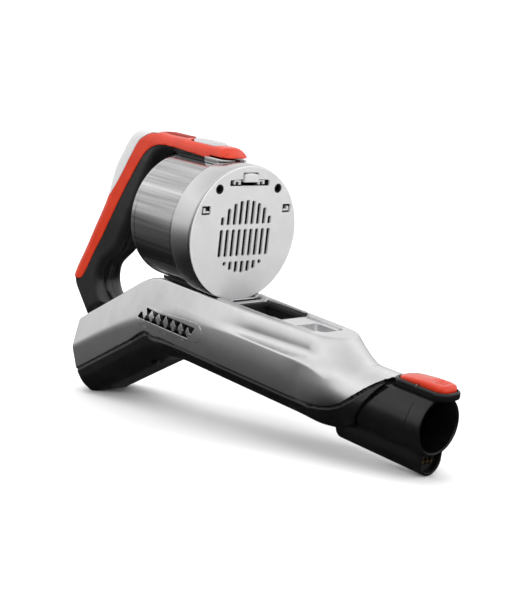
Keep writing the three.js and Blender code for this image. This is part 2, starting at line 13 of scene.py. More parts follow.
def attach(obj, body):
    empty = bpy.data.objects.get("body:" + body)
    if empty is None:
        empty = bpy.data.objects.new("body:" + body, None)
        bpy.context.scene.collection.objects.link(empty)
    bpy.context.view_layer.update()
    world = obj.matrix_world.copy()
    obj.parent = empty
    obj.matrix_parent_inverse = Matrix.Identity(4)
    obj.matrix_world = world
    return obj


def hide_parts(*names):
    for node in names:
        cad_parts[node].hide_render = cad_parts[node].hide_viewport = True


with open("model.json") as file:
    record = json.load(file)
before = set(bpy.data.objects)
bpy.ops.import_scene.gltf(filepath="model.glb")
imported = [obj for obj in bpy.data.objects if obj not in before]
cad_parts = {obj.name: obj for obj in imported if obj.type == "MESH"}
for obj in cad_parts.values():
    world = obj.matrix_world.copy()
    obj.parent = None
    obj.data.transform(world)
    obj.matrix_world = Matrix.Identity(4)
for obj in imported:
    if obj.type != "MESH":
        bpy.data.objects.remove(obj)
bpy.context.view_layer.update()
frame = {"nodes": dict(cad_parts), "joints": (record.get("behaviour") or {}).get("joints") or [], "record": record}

# ---- the level frame, read from the motor's joint ----
SPIN_X = -60.0  # where the motor joint lies on the pod's axis
spin = next(j for j in frame["joints"] if j["name"] == "motor_spin")
AXIS_X = np.array(spin["axis"]) / np.linalg.norm(spin["axis"])
AXIS_Y = np.array([0.0, 1.0, 0.0])
AXIS_Z = np.cross(AXIS_X, AXIS_Y)
TURN = np.array([AXIS_X, AXIS_Y, AXIS_Z])
ORIGIN = np.array(spin["pos_m"]) - AXIS_X * SPIN_X / 1000


def to_row(points):
    """Level-frame millimetres to row-frame metres."""
    return np.asarray(points, float) @ TURN / 1000 + ORIGIN


# ---- driving dimensions ----
FACE_R, RING_R, HOUSING_R, RING_REAR = 56.0, 56.8, 54.0, -26.0
TUBE_Z, TUBE_R, BORE_R, MOUTH, SLEEVE_R = -90.5, 22.2, 20.0, 223.7, 25.2
KEEL_R, KEEL_Z, KEEL_START, KEEL_END = 12.0, -116.8, 137.0, 221.0
PIN_X, PIN_Z, PIN_R = 208.0, -63.8, 1.3  # the nozzle button's pin
RIDGE_Z, CREASE_Z, SEAM_Z, BELLY_Z = -51.5, -72.0, -102.0, -115.5
BODY_HALF, CREASE_HALF, RIDGE_HALF, RIDGE_TAPER = 33.0, 32.2, 25.3, 0.054
HUMP_X, HUMP_FOOT, HUMP_NOSE = 111.0, 32.6, 34.5  # where the hump turns, and its radii at foot and nose
FRONT_SLOPE, FLARE, FLARE_DROP = 0.82, 5.2, 5.0  # how the hump's wall leans in front, and flares at its sides
CRADLE_R, WALL, UPPER_WALL, COVER_WALL, STEP_DEPTH = 57.6, 2.2, 3.0, 2.6, 0.9
WING_PITCH = math.radians(32)
WING_U = np.array([-math.cos(WING_PITCH), 0, -math.sin(WING_PITCH)])
WING_N = np.array([math.sin(WING_PITCH), 0, -math.cos(WING_PITCH)])
WING_CREASE, WING_SEAM, WING_BOTTOM = 24, 44, 70  # depths below the wing's upper plane
TAIL_DEPTHS, TAIL_REACHES = (-1, WING_CREASE, WING_SEAM, WING_BOTTOM), (237, 253, 256, 249)
DECK_TOP, DECK_END = 2.6, 225.4  # the rear deck's depth, and its end along the wing
COVER_SCREWS = ((137, 16), (229, 12))  # distance along the wing, and to each side
WELL_Y, WELL_Z = 31.3, 37.4  # the face's screw wells
SIDES = ((-1, "right"), (1, "left"))

# ---- meshing ----
BLOCK = 4  # samples along a block's side
BLOCK_MARGIN = 1.35  # how far outside a block, in block sides, the surface may be and still be looked for
DAMPING = 0.06  # holds a vertex near its cell's mean where the surface is flat
PUSH = 0.25  # the most that a vertex is moved onto the surface at the end, in steps
SAME_SIDE = math.cos(math.radians(32))  # a corner turned further than this from its face is at a sharp edge


# ---- distance fields: negative inside, in millimetres ----
def smax(a, b, r):
    """The larger field: what two forms share, rounded over r where they meet."""
    h = np.maximum(r - np.abs(a - b), 0) / r
    return np.maximum(a, b) + h * h * r / 4


def smin(a, b, r):
    """The smaller field: two forms joined."""
    return -smax(-a, -b, r)


def carve(a, b, r):
    """The first form without the second."""
    return smax(a, -b, r)


def slant(a, run, b, rise):
    """The distance to a plane that leans between the directions in which a and b grow."""
    return (a * run + b * rise) / np.hypot(run, rise)


def round_box(p, low, high, r):
    """A block between two corners, its edges rounded."""
    centre, half = (np.array(low) + high) / 2, (np.array(high, float) - low) / 2
    q = np.abs(p - centre) - half + r
    return np.linalg.norm(np.maximum(q, 0), axis=1) + np.minimum(q.max(axis=1), 0) - r


def tube_rod(p, r, x0, x1, edge=0.4):
    """A rod on the nozzle's axis, between two ends."""
    radial = np.hypot(p[:, 1], p[:, 2] - TUBE_Z) - r
    return smax(radial, np.maximum(x0 - p[:, 0], p[:, 0] - x1), edge)


def pin_hole(p):
    """The hole for the nozzle button's pin, along Y."""
    return np.maximum(np.hypot(p[:, 0] - PIN_X, p[:, 2] - PIN_Z) - PIN_R, np.abs(p[:, 1]) - 20)


def plan_rect(p, x0, x1, half, r, z0, z1, edge=0.5):
    """A rectangle with round corners seen from above, between two heights."""
    qx = np.abs(p[:, 0] - (x0 + x1) / 2) - (x1 - x0) / 2 + r
    qy = np.abs(p[:, 1]) - half + r
    d = np.hypot(np.maximum(qx, 0), np.maximum(qy, 0)) + np.minimum(np.maximum(qx, qy), 0) - r
    return smax(d, np.maximum(z0 - p[:, 2], p[:, 2] - z1), edge)


def spline(points, steps=6, closed=True):
    """A smooth line through the points."""
    pts = np.array(points, float)
    n = len(pts)
    out = []
    for i in range(n if closed else n - 1):
        near = np.arange(i - 1, i + 3)
        a, b, c, d = pts[near % n if closed else np.clip(near, 0, n - 1)]
        for t in np.arange(steps) / steps:
            out.append(0.5 * (2 * b + (c - a) * t + (2 * a - 5 * b + 4 * c - d) * t ** 2
                              + (3 * b - a - 3 * c + d) * t ** 3))
    if not closed:
        out.append(pts[-1])
    return np.array(out)


class Outline:
    """The distance to a closed outline in the x-z plane, kept on a grid and read between its points."""

    def __init__(self, points, step=0.6, margin=30):
        pts = np.asarray(points, float)
        self.low, self.step = pts.min(0) - margin, step
        self.size = np.ceil((np.ptp(pts, axis=0) + 2 * margin) / step).astype(int) + 2
        gx, gz = np.meshgrid(*[self.low[k] + np.arange(self.size[k]) * step for k in (0, 1)], indexing="ij")
        best, inside = np.full(gx.shape, 1e9), np.zeros(gx.shape, bool)
        for (ax, az), (bx, bz) in zip(pts, np.roll(pts, -1, axis=0)):
            ex, ez = bx - ax, bz - az
            t = np.clip(((gx - ax) * ex + (gz - az) * ez) / (ex * ex + ez * ez + 1e-12), 0, 1)
            best = np.minimum(best, (gx - ax - t * ex) ** 2 + (gz - az - t * ez) ** 2)
            if az != bz:
                inside ^= ((az > gz) != (bz > gz)) & (gx < ax + (gz - az) * ex / ez)
        self.grid = np.where(inside, -1, 1) * np.sqrt(best)

    def __call__(self, p):
        f = (p[:, [0, 2]] - self.low) / self.step
        i = np.clip(np.floor(f).astype(int), 0, self.size - 2)
        t = f - i
        g = self.grid
        a = g[i[:, 0], i[:, 1]] * (1 - t[:, 0]) + g[i[:, 0] + 1, i[:, 1]] * t[:, 0]
        b = g[i[:, 0], i[:, 1] + 1] * (1 - t[:, 0]) + g[i[:, 0] + 1, i[:, 1] + 1] * t[:, 0]
        return a * (1 - t[:, 1]) + b * t[:, 1]


# ---- meshing a field: one vertex a cell, placed where the surface's tangent planes meet ----
def sampled(field, low, shape, step):
    """The field on a grid, worked out in full only in the blocks that the surface may cross."""
    blocks = [n // BLOCK for n in shape]
    middles = [(np.arange(n) + 0.5) * BLOCK - 0.5 for n in blocks]
    centres = np.stack(np.meshgrid(*middles, indexing="ij"), -1)
    coarse = field(low + centres.reshape(-1, 3) * step).reshape(blocks)
    values = coarse
    for axis in range(3):
        values = np.repeat(values, BLOCK, axis=axis)
    near = np.argwhere(np.abs(coarse) < BLOCK * step * BLOCK_MARGIN)
    offsets = np.stack(np.meshgrid(*[np.arange(BLOCK)] * 3, indexing="ij"), -1).reshape(-1, 3)
    index = (near[:, None, :] * BLOCK + offsets[None]).reshape(-1, 3)
    values[index[:, 0], index[:, 1], index[:, 2]] = field(low + index * step)
    return values


def gradient(field, points, reach=0.03):
    """The field's steepest direction at each point, of length one."""
    slopes = [field(points + d) - field(points - d) for d in np.eye(3) * reach]
    g = np.stack(slopes, 1)
    return g / np.maximum(np.linalg.norm(g, axis=1, keepdims=True), 1e-9)


def field_mesh(field, low, high, step):
    """The surface where the field is zero, as vertices and four-sided faces."""
    low = np.array(low, float) - 2 * step
    shape = [int(math.ceil((h - l + 2 * step) / step / BLOCK) * BLOCK) for l, h in zip(low, high)]
    values = sampled(field, low, shape, step)
    inside = values < 0
    cells, places, normals, quads, flips = [], [], [], [], []
    strides = np.array([shape[1] * shape[2], shape[2], 1])
    for axis in range(3):
        # the grid's edges along this axis that the surface crosses
        first, second = [slice(None)] * 3, [slice(None)] * 3
        first[axis], second[axis] = slice(0, -1), slice(1, None)
        index = np.argwhere(inside[tuple(first)] != inside[tuple(second)])
        unit = np.eye(3)[axis]
        v0 = values[tuple(index.T)]
        v1 = values[tuple((index + unit.astype(int)).T)]
        # close in on each crossing from both ends of its edge
        t0, t1 = np.zeros(len(v0)), np.ones(len(v0))
        for _ in range(3):
            t = t0 + (t1 - t0) * np.clip(v0 / (v0 - v1), 0.02, 0.98)
            v = field(low + (index + t[:, None] * unit) * step)
            same = (v < 0) == (v0 < 0)
            t0, v0 = np.where(same, t, t0), np.where(same, v, v0)
            t1, v1 = np.where(same, t1, t), np.where(same, v1, v)
        t = t0 + (t1 - t0) * v0 / np.where(v0 == v1, 1, v0 - v1)
        point = low + (index + t[:, None] * unit) * step
        normal = gradient(field, point)
        # the four cells round the edge each get the crossing, and together make one face
        b, c = [k for k in range(3) if k != axis]
        ring = []
        for db, dc in ((0, 0), (1, 0), (1, 1), (0, 1)):
            cell = index.copy()
            cell[:, b] -= db
            cell[:, c] -= dc
            ring.append(cell @ strides)
            cells.append(ring[-1])
            places.append(point)
            normals.append(normal)
        quads.append(np.stack(ring, 1))
        flips.append(inside[tuple(index.T)] != (axis == 1))
    cells, places, normals = np.concatenate(cells), np.concatenate(places), np.concatenate(normals)
    quads, flips = np.concatenate(quads), np.concatenate(flips)
    used, back = np.unique(cells, return_inverse=True)
    count = np.bincount(back)

    def total(weights):
        """A sum over the crossings of each cell."""
        return np.bincount(back, weights=weights)

    # each vertex lies where its cell's tangent planes meet best, and inside the cell
    mean = np.stack([total(places[:, k]) / count for k in range(3)], 1)
    offset = ((places - mean[back]) * normals).sum(1)
    matrix = np.empty((len(used), 3, 3))
    for i in range(3):
        for j in range(3):
            matrix[:, i, j] = total(normals[:, i] * normals[:, j])
    right = np.stack([total(normals[:, k] * offset) for k in range(3)], 1)
    matrix += np.eye(3) * DAMPING
    verts = mean + np.linalg.solve(matrix, right[:, :, None])[:, :, 0]
    corner = np.stack(np.unravel_index(used, shape), 1)
    verts = np.clip(verts, low + corner * step, low + (corner + 1) * step)
    push = field(verts)
    verts -= np.clip(push, -PUSH * step, PUSH * step)[:, None] * gradient(field, verts)
    faces = np.searchsorted(used, quads)
    faces = np.where(flips[:, None], faces, faces[:, ::-1])
    return verts, faces


def corner_normals(mesh, normals):
    """Each face corner takes its vertex's normal, or the face's own where an edge is sharp."""
    at = np.empty(len(mesh.loops), int)
    mesh.loops.foreach_get("vertex_index", at)
    flat = np.empty(len(mesh.polygons) * 3)
    mesh.polygons.foreach_get("normal", flat)
    count = np.empty(len(mesh.polygons), int)
    mesh.polygons.foreach_get("loop_total", count)
    flat = np.repeat(flat.reshape(-1, 3), count, axis=0)
    near = (flat * normals[at]).sum(1) > SAME_SIDE
    return np.where(near[:, None], normals[at], flat)


def new_object(name, verts, faces, material, sharp=None, normals=None):
    """A mesh object from level-frame vertices and faces of one size, shaded by an angle or by normals."""
    verts, faces = to_row(verts), np.asarray(faces)
    mesh = bpy.data.meshes.new(name)
    mesh.vertices.add(len(verts))
    mesh.vertices.foreach_set("co", verts.ravel())
    mesh.loops.add(faces.size)
    mesh.loops.foreach_set("vertex_index", faces.ravel())
    mesh.polygons.add(len(faces))
    mesh.polygons.foreach_set("loop_start", np.arange(0, faces.size, faces.shape[1]))
    mesh.update(calc_edges=True)
    mesh.validate()
    mesh.polygons.foreach_set("use_smooth", np.ones(len(mesh.polygons), bool))
    if normals is None:
        mesh.set_sharp_from_angle(angle=math.radians(sharp))
    else:
        mesh.normals_split_custom_set(corner_normals(mesh, normals @ TURN).tolist())
    mesh.materials.append(material)
    obj = bpy.data.objects.new(name, mesh)
    bpy.context.scene.collection.objects.link(obj)
    return obj


def settle(obj, body, replaces, slot):
    """Put a piece on its body, in the place of the CAD nodes it stands for."""
    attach(obj, body)
    if replaces:
        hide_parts(*replaces)


# ---- materials ----
RELIEF_HEIGHT = 0.0002  # metres
COAT_ROUGHNESS = 0.06


def finish(name, dark, light, roughness, metallic=0.0, spread=0.04, scale=60.0, stretch=(1, 1, 1),
           bump=0.0, bump_scale=900.0, coat=0.0, specular=0.5):
    """A moulded or painted surface: cloudy colour, uneven roughness and relief, all from noise."""
    mat = bpy.data.materials.new(name)
    mat.use_nodes = True
    nodes, links = mat.node_tree.nodes, mat.node_tree.links
    shader = nodes["Principled BSDF"]
    place = nodes.new("ShaderNodeTexCoord")
    mapping = nodes.new("ShaderNodeMapping")
    mapping.inputs["Rotation"].default_value = (0, -math.atan2(AXIS_X[2], AXIS_X[0]), 0)
    mapping.vector_type = "TEXTURE"
    mapping.inputs["Scale"].default_value = [1 / k for k in stretch]
    links.new(place.outputs["Object"], mapping.inputs["Vector"])

    def noise(size, detail):
        node = nodes.new("ShaderNodeTexNoise")
        node.inputs["Scale"].default_value = size
        node.inputs["Detail"].default_value = detail
        links.new(mapping.outputs["Vector"], node.inputs["Vector"])
        return node.outputs["Fac"]

    cloud = noise(scale, 4)
    ramp = nodes.new("ShaderNodeValToRGB")
    for stop, position, colour in zip(ramp.color_ramp.elements, (0.3, 0.7), (dark, light)):
        stop.position, stop.color = position, (*colour, 1)
    links.new(cloud, ramp.inputs["Fac"])
    links.new(ramp.outputs["Color"], shader.inputs["Base Color"])
    spread_map = nodes.new("ShaderNodeMapRange")
    spread_map.inputs["To Min"].default_value = roughness - spread
    spread_map.inputs["To Max"].default_value = roughness + spread
    links.new(noise(scale * 3, 3), spread_map.inputs["Value"])
    links.new(spread_map.outputs["Result"], shader.inputs["Roughness"])
    shader.inputs["Metallic"].default_value = metallic
    shader.inputs["Specular IOR Level"].default_value = specular
    shader.inputs["Coat Weight"].default_value = coat
    shader.inputs["Coat Roughness"].default_value = COAT_ROUGHNESS
    if bump:
        relief = nodes.new("ShaderNodeBump")
        relief.inputs["Strength"].default_value = bump
        relief.inputs["Distance"].default_value = RELIEF_HEIGHT
        links.new(noise(bump_scale, 2), relief.inputs["Height"])
        links.new(relief.outputs["Normal"], shader.inputs["Normal"])
    return mat


def grey(v):
    """A grey of this level, a touch cool."""
    return v, v, v * 1.01


LOOKS = {
    "silver_shell": finish("silver_paint", grey(0.70), grey(0.76), 0.25, 1.0, spread=0.02, bump=0.12,
                           bump_scale=24),
    "pale_plastic": finish("pale_plastic", grey(0.56), grey(0.60), 0.34, bump=0.03, bump_scale=900),
    "ring": finish("ring_lacquer", grey(0.62), grey(0.68), 0.24, 1.0, stretch=(0.3, 1, 1), bump=0.3,
                   bump_scale=25),
    "grey_gloss": finish("housing_gloss", grey(0.22), grey(0.70), 0.17, 1.0, spread=0.05, scale=42,
                         stretch=(0.10, 4, 4), bump=0.5, bump_scale=16),
    "black_gloss": finish("black_gloss", grey(0.003), grey(0.006), 0.16, spread=0.03, bump=0.3,
                          bump_scale=22, specular=0.45),
    "grip": finish("grip_gloss", grey(0.006), grey(0.010), 0.22, spread=0.03, bump=0.3,
                   bump_scale=20, coat=0.25),
    "black_plain": finish("black_moulding", grey(0.010), grey(0.018), 0.45, bump=0.2, bump_scale=2500),
    "red_gloss": finish("red_gloss", (0.47, 0.022, 0.003), (0.56, 0.032, 0.005), 0.17, bump=0.3,
                        bump_scale=25),
    "dark_red": finish("dark_red", (0.25, 0.012, 0.006), (0.36, 0.022, 0.010), 0.42, bump=0.15),
    "rubber": finish("soft_rubber", grey(0.014), grey(0.024), 0.7, bump=0.3, bump_scale=2500),
    "steel": finish("turned_steel", grey(0.48), grey(0.60), 0.28, 1.0, stretch=(4, 1, 1), bump=0.1),
    "brass": finish("plated_contact", (0.62, 0.42, 0.15), (0.74, 0.52, 0.20), 0.25, 1.0, bump=0.05),
    "foam": finish("filter_fleece", grey(0.006), grey(0.014), 0.92, scale=900, bump=1.0, bump_scale=1400),
    "cell": finish("cell_wrap", (0.06, 0.20, 0.30), (0.09, 0.26, 0.38), 0.35, bump=0.05),
    "board": finish("board_resist", (0.02, 0.10, 0.05), (0.03, 0.15, 0.08), 0.4, scale=250, bump=0.1),
}
SLOT_OF = {row["node"]: row["material_slot"] for row in frame["record"]["subparts"]}
for node, obj in frame["nodes"].items():
    obj.data.materials.clear()
    obj.data.materials.append(LOOKS[SLOT_OF[node]])


def made(name, field, low, high, step, slot, *nodes, body="main", look=None):
    """Mesh a field between two corners, and settle it as one piece."""
    verts, faces = field_mesh(field, low, high, step)
    obj = new_object(name, verts, faces, LOOKS[look or slot], normals=gradient(field, verts, 0.3 * step))
    settle(obj, body, nodes, slot)


# ---- body ----
def floor_field(p):
    """Positive under the floor that the vacuum stands on."""
    return -(p @ TURN[:, 2] + ORIGIN[2] * 1000)


def body_core(p):
    """The body without its sleeve: a bar with a hump at its front and the battery's wing behind."""
    x, y, z = p.T
    ay = np.abs(y)
    s, depth = p @ WING_U, p @ WING_N
    top = smax(z - RIDGE_Z, -1 - depth, 14)
    ridge = RIDGE_HALF - RIDGE_TAPER * np.clip(x, -80, HUMP_X)
    straight = slant(ay - CREASE_HALF, RIDGE_Z - CREASE_Z, z - CREASE_Z, CREASE_HALF - ridge)
    # the hump's steep wall over a sloping shelf, both carried round its front
    ahead = np.maximum(x - HUMP_X, 0)
    around = np.hypot(ahead, ay)
    facing = ahead / (around + 1e-6)
    drop = np.maximum(RIDGE_Z - z, 0)
    flare = (1 - facing) * FLARE * (1 - np.exp(-drop / FLARE_DROP))
    steep = (around - ridge - FRONT_SLOPE * facing * drop - flare) * 0.85
    shelf = ((z - CREASE_Z) + 0.5 * (around - HUMP_FOOT)) * 0.894
    forward = np.clip((x + 5) / 60, 0, 1)
    forward = forward * forward * (3 - 2 * forward)
    bar_side = straight * (1 - forward) + smin(steep, shelf, 4) * forward
    wing_side = slant(ay - BODY_HALF, 25, WING_CREASE - depth, 10)
    shoulder = smax(bar_side, wing_side, 10)
    # the flank, a little barrelled on the bar, and tucked in above the seam
    roll = np.clip((x + 95) / 55, 0, 1)
    flank = ay - BODY_HALF + roll * 0.0035 * np.clip(z + 86, -17, 15) ** 2
    under = smin(-96 - z, depth - WING_CREASE, 10)
    tuck = (ay - BODY_HALF) + (0.06 + 0.06 * roll) * under
    side = smax(smax(shoulder, flank, 0.9), tuck, 1.6)
    chamfer_bar = slant(ay - 31.5, 9.5, -106 - z, 8)
    chamfer_wing = slant(ay - 28.5, 10, depth - 60, 11)
    belly = smin(smax(BELLY_Z - z, chamfer_bar, 3), smax(depth - WING_BOTTOM, chamfer_wing, 3), 14)
    nose = around - HUMP_NOSE - 0.3 * np.maximum(HUMP_X - x, 0)
    tail = s - np.interp(depth, TAIL_DEPTHS, TAIL_REACHES) + 14 * (ay / BODY_HALF) ** 2
    return smax(smax(smax(smax(top, side, 2.0), belly, 3), nose, 8), tail, 3)


def body_form(p):
    """The whole body, with the sleeve swelling out of its front."""
    swell = 0.006 * np.maximum(140 - p[:, 0], 0) ** 2
    sleeve = tube_rod(p, SLEEVE_R, 60, 188, edge=0.8) + swell
    return smax(smin(body_core(p), sleeve, 15), floor_field(p), 0.6)


def on_wing(s, depth):
    """The x and z of a point given along and below the wing's upper plane."""
    v = WING_U * s + WING_N * depth
    return [v[0], v[2]]


SEAM = [(205, -46), (194, -55), (186, -63.6), (176, -70.5), (163, -82.5), (151, -93.2), (140, -99),
        (126, -101.6), (110, SEAM_Z), (20, SEAM_Z), (-40, SEAM_Z), (-58, -102.3), (-70, -103.6),
        on_wing(124, 43.6), on_wing(150, WING_SEAM), on_wing(200, WING_SEAM), on_wing(300, WING_SEAM)]
seam_line = spline(SEAM, 5, closed=False)
upper_side_of = Outline(np.vstack([seam_line, [[-300, 20], [205, 20]]]), step=0.8)
# the region of the battery cover, behind the split in the underside
BEND = Outline([(-48, -140), (-85, -95), (-280, -95), (-280, -240), (-48, -240)], step=0.8)
VENT_EDGE = spline([(-94.5, -90.5), (-91, -83.2), (-80, -80), (-46, -78.6), (-14, -76.8), (-6.2, -79),
                    (-5, -85.5), (-12, -91.8), (-46, -94.2), (-84, -96), (-92.5, -95)], 6)
VENT = Outline(VENT_EDGE, step=0.4, margin=14)
# the vent's hourglass holes: middle, and whether each has its upper and its lower half
VENT_HOLES = [(-77.8 + 10.4 * k, 1, 1) for k in range(6)] + [(-87.8, 0, 1), (-17.6, 1, 0)]
VENT_MID, VENT_WAIST, VENT_FLARE, VENT_REACH = -86.2, 1.25, 0.64, 5.4


def hollow(f, thick=WALL):
    """The outer layer of a form."""
    return smax(f, -(f + thick), 0.3)


def cradle(p):
    """The round hollow that the motor pod lies in."""
    return smax(np.hypot(p[:, 1], p[:, 2]) - CRADLE_R, p[:, 0] - 1, 0.8)


def wing_axes(p):
    """Points as distance along the wing, distance sideways and depth."""
    return np.stack([p @ WING_U, p[:, 1], p @ WING_N], 1)


def upper_shell(p):
    """The silver shell above the seam, with what is cut into its top and its flanks."""
    x, y, z = p.T
    form = body_form(p)
    inside = smax(form + UPPER_WALL, z + 56.9, 0.3)
    f = smax(carve(form, inside, 0.3), upper_side_of(p) + 0.15, 0.5)
    f = carve(f, tube_rod(p, TUBE_R + 0.3, 117, 250), 0.4)
    f = carve(f, cradle(p), 1.2)
    sunk_deck = round_box(p, (0.9, -17.6, -53.9), (106, 17.6, -40), 1.2)
    inlet = plan_rect(p, 15, 65, 19.2, 4, -62, -40)
    cross_slot = plan_rect(p, 3, 9.5, 18.5, 2.5, -62, -40)
    hook_socket = plan_rect(p, 82, 112, 12, 5, -62, -40)
    for hole, edge in ((sunk_deck, 1.0), (inlet, 0.8), (cross_slot, 0.6), (hook_socket, 0.8)):
        f = carve(f, hole, edge)
    # the groove that outlines a tab on the sleeve's top
    tab_half, tab_end, line = 9, 157, 0.3
    along = np.maximum(np.abs(np.abs(y) - tab_half) - line, tab_end - x)
    across = np.maximum(np.abs(x - tab_end) - line, np.abs(y) - tab_half)
    skin = SLEEVE_R - 0.7 - np.hypot(y, z - TUBE_Z)
    f = carve(f, smax(smax(np.minimum(along, across), skin, 0.2), -80 - z, 0.2), 0.3)
    f = carve(f, round_box(wing_axes(p), (90, -20.5, -12), (226, 20.5, 6.4), 2), 1.0)
    return carve(f, smax(VENT(p), 24 - np.abs(y), 0.3), 0.3)


def keel_section(p, r):
    """The keel's round lower half with upright sides above it."""
    return np.hypot(p[:, 1], np.minimum(p[:, 2] - KEEL_Z, 0)) - r


def stepped_in(p):
    """The body, the depth above the seam, and the body with the shallow step that runs below the seam."""
    below = upper_side_of(p)
    form = body_form(p)
    return form, below, form + STEP_DEPTH * np.clip((2.6 - below) / 0.8, 0, 1)


def lower_shell(p):
    """The dark shell under the bar, up to the battery cover, open in front for the nozzle and its keel."""
    _, below, stepped = stepped_in(p)
    f = smax(hollow(stepped), 0.15 - below, 0.5)
    f = smax(f, 0.15 - BEND(p), 0.4)
    f = carve(f, tube_rod(p, TUBE_R + 0.3, 117, 250), 0.4)
    f = smax(f, p[:, 0] - (183.5 + 0.56 * np.minimum(p[:, 2] + 66, 0)), 0.5)
    keel = smax(keel_section(p, KEEL_R + 0.3), KEEL_START - 0.3 - p[:, 0], 0.3)
    return carve(f, keel, 0.5)


def near_screws(p, r):
    """Round columns of one radius on the cover's four screws."""
    s = p @ WING_U
    return np.minimum.reduce([np.hypot(s - at, np.abs(p[:, 1]) - side) - r for at, side in COVER_SCREWS])


def battery_cover(p):
    """The battery's cover: a stepped shell with posts for four screws, and ribs to grip it by at the rear."""
    form, below, stepped = stepped_in(p)
    s, side, depth = wing_axes(p).T
    f = smax(hollow(stepped, COVER_WALL), 0.15 - below, 0.5)
    posts = smax(smax(near_screws(p, 7), 56 - depth, 0.3), form + 0.5, 0.3)
    f = smin(f, posts, 1.0)
    f = smax(f, BEND(p) + 0.15, 0.4)
    for k in range(4):
        rib = np.hypot(s - 205 - 3.2 * k, np.abs(side) - 30.6) - 0.9
        f = smin(f, smax(smax(rib, 50 - depth, 0.3), depth - 57, 0.3), 0.6)
    f = carve(f, smax(near_screws(p, 5), 58.3 - depth, 0.3), 0.8)
    return smax(carve(f, smax(near_screws(p, 2), depth - 61, 0.3), 0.3), floor_field(p), 0.6)


BODY_LOW, BODY_HIGH = (-256, -34.5, -200), (190, 34.5, -46)
made("upper_body", upper_shell, BODY_LOW, BODY_HIGH, 1.3, "silver_shell", "upper_shell")
made("lower_body", lower_shell, (-90, -34.5, -122), (190, 34.5, -60), 1.1, "black_gloss", "lower_shell")
made("battery_housing", battery_cover, (-256, -34.5, -200), (-46, 34.5, -94), 1.2, "black_gloss",
     "battery_cover")


def rear_deck(p):
    """The dark deck let into the wing, with a groove along each side."""
    f = round_box(wing_axes(p), (91, -20.2, DECK_TOP), (DECK_END, 20.2, 5.6), 1.2)
    depth = p @ WING_N
    for side in (-1, 1):
        f = carve(f, np.hypot(p[:, 1] - side * 16.5, (depth - DECK_TOP) * 1.3) - 0.8, 0.4)
    return carve(f, np.hypot(p[:, 1], p[:, 2]) - CRADLE_R - 0.3, 0.3)


made("wing_deck", rear_deck, (-200, -21, -126), (-76, 21, -48), 0.9, "black_gloss", "rear_deck")


def vent_panel(side):
    """The thin panel with hourglass holes let into the flank."""
    def field(p):
        f = smax(VENT(p) - 1.0, np.abs(-body_form(p) - 0.4) - 0.52, 0.25)
        rise = p[:, 2] - VENT_MID
        holes = []
        for middle, up, down in VENT_HOLES:
            across = (np.abs(p[:, 0] - middle) - VENT_WAIST - VENT_FLARE * np.abs(rise)) * 0.88
            along = smax(rise - VENT_REACH * up, -rise - VENT_REACH * down, 0.3)
            holes.append(smax(across, along, 0.5))
        return smax(carve(f, np.minimum.reduce(holes), 0.4), 22 - p[:, 1] * side, 0.3)
    return field


def vent_shade_backing(side):
    """A dark sheet a little way behind the vent's holes: painted shade, so that the holes read dark as the shade
    inside the body would make them.
    """
    def field(p):
        sheet = smax(VENT(p) - 2.4, np.abs(body_form(p) + 4.5) - 0.8, 0.4)
        return smax(sheet, 20 - p[:, 1] * side, 0.3)
    return field


for side, word in SIDES:
    low, high = ((-99, -34, -100), (-1, -24, -73)) if side < 0 else ((-99, 24, -100), (-1, 34, -73))
    made("vent_" + word, vent_panel(side), low, high, 0.6, "silver_shell")
    # the dark sheet behind each vent is painted shade for the inside seen through its holes
    made("vent_shade_backing_" + word, vent_shade_backing(side), low, high, 0.9, "foam", look="black_gloss")


def pocket(p):
    """The scooped pocket in front of the opening: its floor climbs towards the front."""
    f = plan_rect(p, 82.3, 111.7, 11.7, 4.7, -66, -53.4, 0.6)
    floor = -63.5 + 0.34 * np.clip(p[:, 0] - 90, 0, 30)
    scoop = smax(plan_rect(p, 84, 110, 10, 3.5, -80, -30, 0.6), floor - p[:, 2], 2.0)
    return carve(f, scoop, 0.8)


def inlet_ring(p):
    """The rubber ring round the opening that the dust comes through."""
    outer = plan_rect(p, 15.3, 64.7, 18.9, 3.7, -58.2, -54.6, 0.5)
    return carve(outer, plan_rect(p, 17.2, 62.8, 17.4, 2.4, -70, -30, 0.3), 0.6)


made("bin_hook_pocket", pocket, (82, -12, -66.2), (112, 12, -53), 0.7, "silver_shell", "hook_pocket")
made("inlet_gasket", inlet_ring, (14, -20, -59), (66, 20, -54), 0.5, "rubber", "inlet_seal")


# ---- nozzle ----
def nozzle(p):
    """The tube and its keel, and the raised collar that the button sits in."""
    x, y, z = p.T
    tube = tube_rod(p, TUBE_R, 119, MOUTH, edge=1.2)
    keel = smax(smax(keel_section(p, KEEL_R), z + 100, 0.5), np.maximum(KEEL_START - x, x - KEEL_END), 1.2)
    foot = smax(plan_rect(p, 184, 233, 12, 8, -76, -64.2, 0.8), x - MOUTH, 1.0)
    collar = plan_rect(p, 184, 233, 12.3, 9, -69.6, -63.2, 2.4)
    f = smin(smin(tube, keel, 2.5), smin(foot, collar, 1.0), 2.0)
    seam = smax(np.abs(x - 211) - 0.35, np.abs(np.hypot(y, z - TUBE_Z) - TUBE_R) - 0.45, 0.2)
    f = carve(f, smax(seam, z + 74, 0.2), 0.3)
    f = carve(f, tube_rod(p, BORE_R, 110, 240), 1.4)
    f = carve(f, plan_rect(p, 186.2, 231, 10.2, 7.4, -67.6, -50, 0.3), 0.9)
    f = carve(f, pin_hole(p), 0.3)
    f = carve(f, round_box(p, (188.2, -4, -75), (194.8, 4, -66), 0.3), 0.3)
    socket = smax(smax(keel_section(p, KEEL_R - WALL), z + 113.2, 0.5), KEEL_END - 14 - x, 0.4)
    return smax(carve(f, socket, 0.6), floor_field(p), 0.3)


CROWN_X = (186, 192, 198, 210, 216, 222, 227, 230.5)
CROWN_Z = (-62.6, -61.0, -60.1, -59.0, -58.7, -58.7, -59.3, -61.6)


